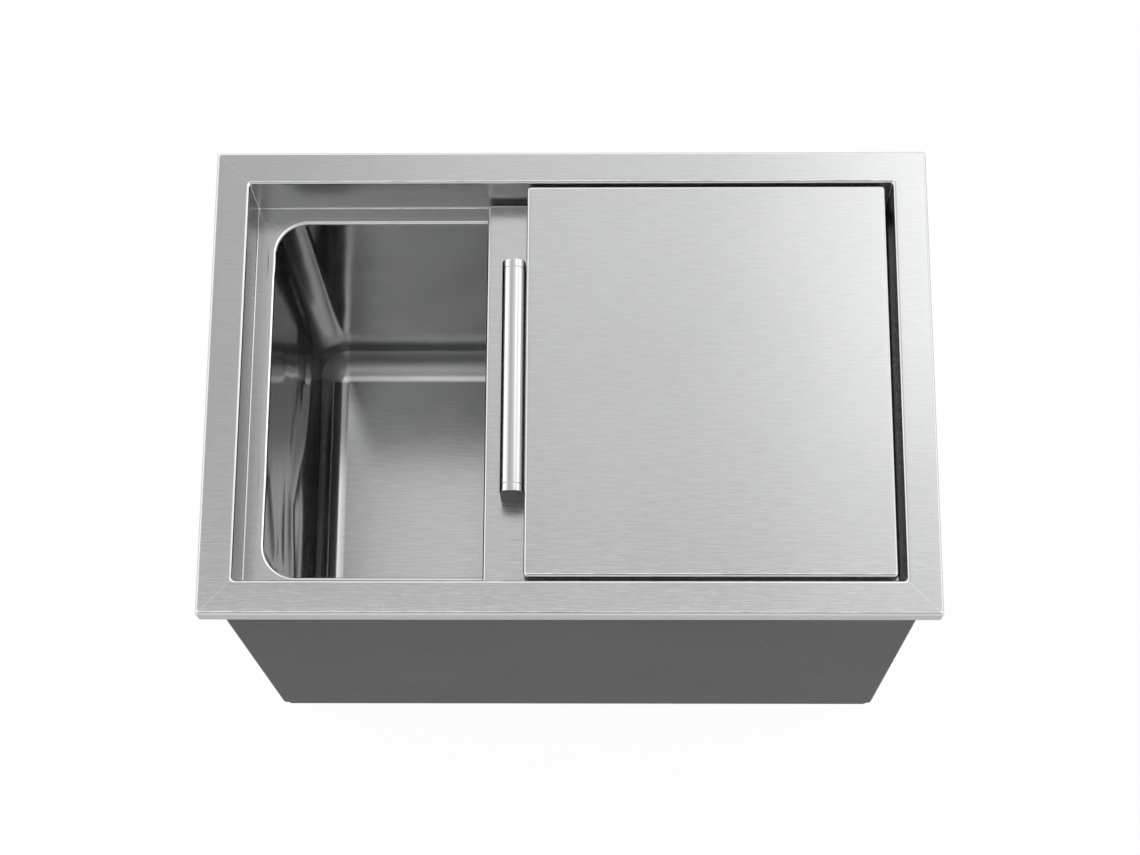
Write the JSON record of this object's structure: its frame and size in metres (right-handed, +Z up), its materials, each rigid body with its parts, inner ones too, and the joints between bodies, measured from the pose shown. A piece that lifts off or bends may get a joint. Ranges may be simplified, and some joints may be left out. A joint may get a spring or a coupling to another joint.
{
  "type": "drop-in ice bin",
  "caption": "Insulated steel ice bin that drops into a counter cut-out, with a flush lift-off lid, a sliding panel with a bar handle, and a floor drain.",
  "frame": {"origin": "centre of the rim, in the plane of the counter top that the rim's turned-down lip stands on", "axes": "+X to the right along the bin's length, towards the upper lid; +Y to the back; +Z up"},
  "size_m": [0.457, 0.305, 0.381],
  "materials": {
    "rim_steel": "satin",
    "cover_steel": "satin",
    "basin_steel": "gloss",
    "handle_steel": "polished",
    "drain_steel": "gloss",
    "casing_metal": "matte",
    "foam": "matte",
    "slip_plastic": "satin",
    "rubber": "matte"
  },
  "bodies": {
    "bin": {"rim_front": "rim_steel", "rim_right": "rim_steel", "rim_back": "rim_steel", "rim_left": "rim_steel", "basin": "basin_steel", "casing_wrap": "casing_metal", "casing_back": "casing_metal", "casing_bottom": "casing_metal", "insulation": "foam", "lid_rail_front": "rim_steel", "rail_pad_front": "rubber", "lid_rail_back": "rim_steel", "rail_pad_back": "rubber", "drain_body": "drain_steel", "drain_floor_gasket": "rubber", "drain_strainer": "drain_steel", "drain_outer_gasket": "rubber", "drain_lock_nut": "drain_steel"},
    "sliding_panel": {"panel_skin": "cover_steel", "panel_core": "foam", "panel_liner": "cover_steel", "panel_glide_front": "slip_plastic", "panel_glide_back": "slip_plastic", "handle_bar": "handle_steel", "handle_foot_front": "handle_steel", "handle_foot_back": "handle_steel", "handle_screw_front": "handle_steel", "handle_screw_back": "handle_steel"},
    "upper_lid": {"upper_lid_skin": "cover_steel", "upper_lid_core": "foam", "upper_lid_liner": "cover_steel"},
    "drain_stopper": {"drain_plug": "rubber"}
  },
  "joints": [
    {"name": "panel_slide", "type": "slide", "parent": "bin", "child": "sliding_panel", "axis": [1, 0, 0], "range_m": [-0.15, 0]},
    {"name": "upper_lid_lift", "type": "slide", "parent": "bin", "child": "upper_lid", "axis": [0, 0, 1], "range_m": [0, 0.15]},
    {"name": "drain_plug_lift", "type": "slide", "parent": "bin", "child": "drain_stopper", "axis": [0, 0, 1], "range_m": [0, 0.05]}
  ]
}
